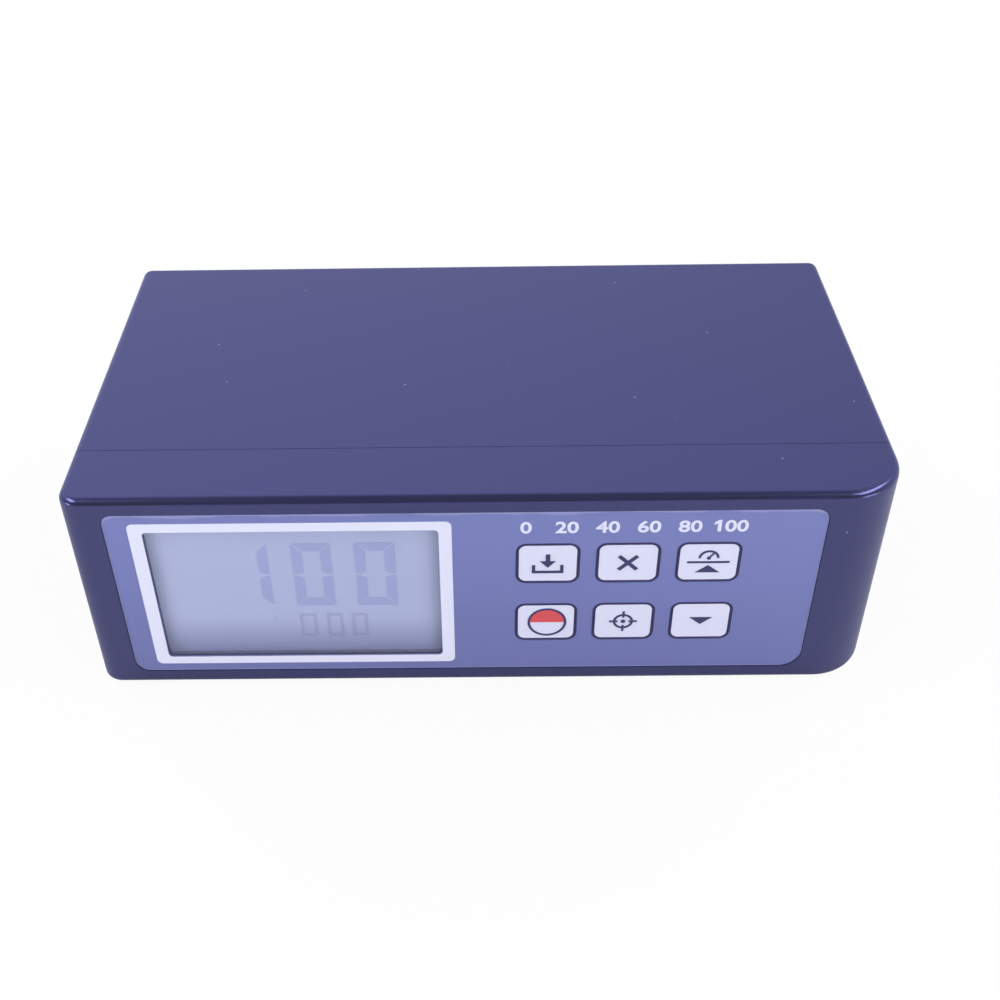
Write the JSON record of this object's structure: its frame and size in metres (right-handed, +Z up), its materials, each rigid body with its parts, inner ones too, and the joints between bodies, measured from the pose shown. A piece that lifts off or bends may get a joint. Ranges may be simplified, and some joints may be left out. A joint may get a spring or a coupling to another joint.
{
  "type": "whiteness meter",
  "caption": "Flat box-shaped whiteness meter with a display and six flush keys in a printed film panel on its front, a measuring port in its underside and a sliding battery door.",
  "frame": {"origin": "middle of the case's width and depth, on the plane it stands on", "axes": "+X along the case's length, to the right when facing the display; +Y to the back; +Z up"},
  "size_m": [0.14, 0.075, 0.045],
  "materials": {
    "case_plastic": "dark blue-violet satin moulding",
    "film_print": "grey-blue printed film, satin",
    "key_print": "white printed key pad, satin",
    "clear_window": "clear, glossy",
    "display_glass": "pale grey-blue display glass, glossy",
    "white_plastic": "white, matte",
    "black_plastic": "black, matte",
    "grey_rubber": "soft, matte",
    "board": "green laminate, satin",
    "steel": "plated",
    "cell_jacket": "plain blue jacket, glossy",
    "brass_plate": "bright",
    "anodised": "black anodised, satin",
    "filter_glass": "blue, glossy",
    "lamp_glass": "clear, glossy",
    "ribbon": "pale flat ribbon",
    "lead_sleeve": "dark red sleeve"
  },
  "bodies": {
    "instrument": {"battery_cells": "cell_jacket", "battery_leads": "lead_sleeve", "battery_plates": "brass_plate", "battery_springs": "steel", "battery_tray": "black_plastic", "blue_filter": "filter_glass", "board_parts": "black_plastic", "board_screws": "steel", "case_screws": "steel", "controller_chip": "black_plastic", "data_jack": "black_plastic", "detector": "steel", "display_window": "clear_window", "front_housing": "case_plastic", "head_screws": "steel", "jack_nut": "steel", "lcd_backlight": "white_plastic", "lcd_glass": "display_glass", "lcd_holder": "black_plastic", "light_emitters": "lamp_glass", "main_board": "board", "optical_head": "anodised", "panel_film": "film_print", "port_glass": "clear_window", "port_ring": "anodised", "rear_housing": "case_plastic", "ribbon_sockets": "white_plastic", "rubber_feet": "grey_rubber", "sensor_board": "board", "sensor_ribbon": "ribbon", "tact_switches": "black_plastic", "tray_screws": "steel", "zebra_strips": "grey_rubber"},
    "save_button": {"save_key": "key_print", "save_key_stem": "black_plastic"},
    "delete_button": {"delete_key": "key_print", "delete_key_stem": "black_plastic"},
    "read_button": {"read_key": "key_print", "read_key_stem": "black_plastic"},
    "power_button": {"power_key": "key_print", "power_key_stem": "black_plastic"},
    "calibrate_button": {"calibrate_key": "key_print", "calibrate_key_stem": "black_plastic"},
    "down_button": {"down_key": "key_print", "down_key_stem": "black_plastic"},
    "door": {"battery_door": "case_plastic"}
  },
  "joints": [
    {"name": "save_button_press", "type": "slide", "parent": "instrument", "child": "save_button", "axis": [0, 1, 0], "range_m": [0, 0.0004], "stiffness_N_per_m": 800, "springref_m": -0.0005},
    {"name": "delete_button_press", "type": "slide", "parent": "instrument", "child": "delete_button", "axis": [0, 1, 0], "range_m": [0, 0.0004], "stiffness_N_per_m": 800, "springref_m": -0.0005},
    {"name": "read_button_press", "type": "slide", "parent": "instrument", "child": "read_button", "axis": [0, 1, 0], "range_m": [0, 0.0004], "stiffness_N_per_m": 800, "springref_m": -0.0005},
    {"name": "power_button_press", "type": "slide", "parent": "instrument", "child": "power_button", "axis": [0, 1, 0], "range_m": [0, 0.0004], "stiffness_N_per_m": 800, "springref_m": -0.0005},
    {"name": "calibrate_button_press", "type": "slide", "parent": "instrument", "child": "calibrate_button", "axis": [0, 1, 0], "range_m": [0, 0.0004], "stiffness_N_per_m": 800, "springref_m": -0.0005},
    {"name": "down_button_press", "type": "slide", "parent": "instrument", "child": "down_button", "axis": [0, 1, 0], "range_m": [0, 0.0004], "stiffness_N_per_m": 800, "springref_m": -0.0005},
    {"name": "door_slide", "type": "slide", "parent": "instrument", "child": "door", "axis": [0, 1, 0], "range_m": [0, 0.055]}
  ]
}
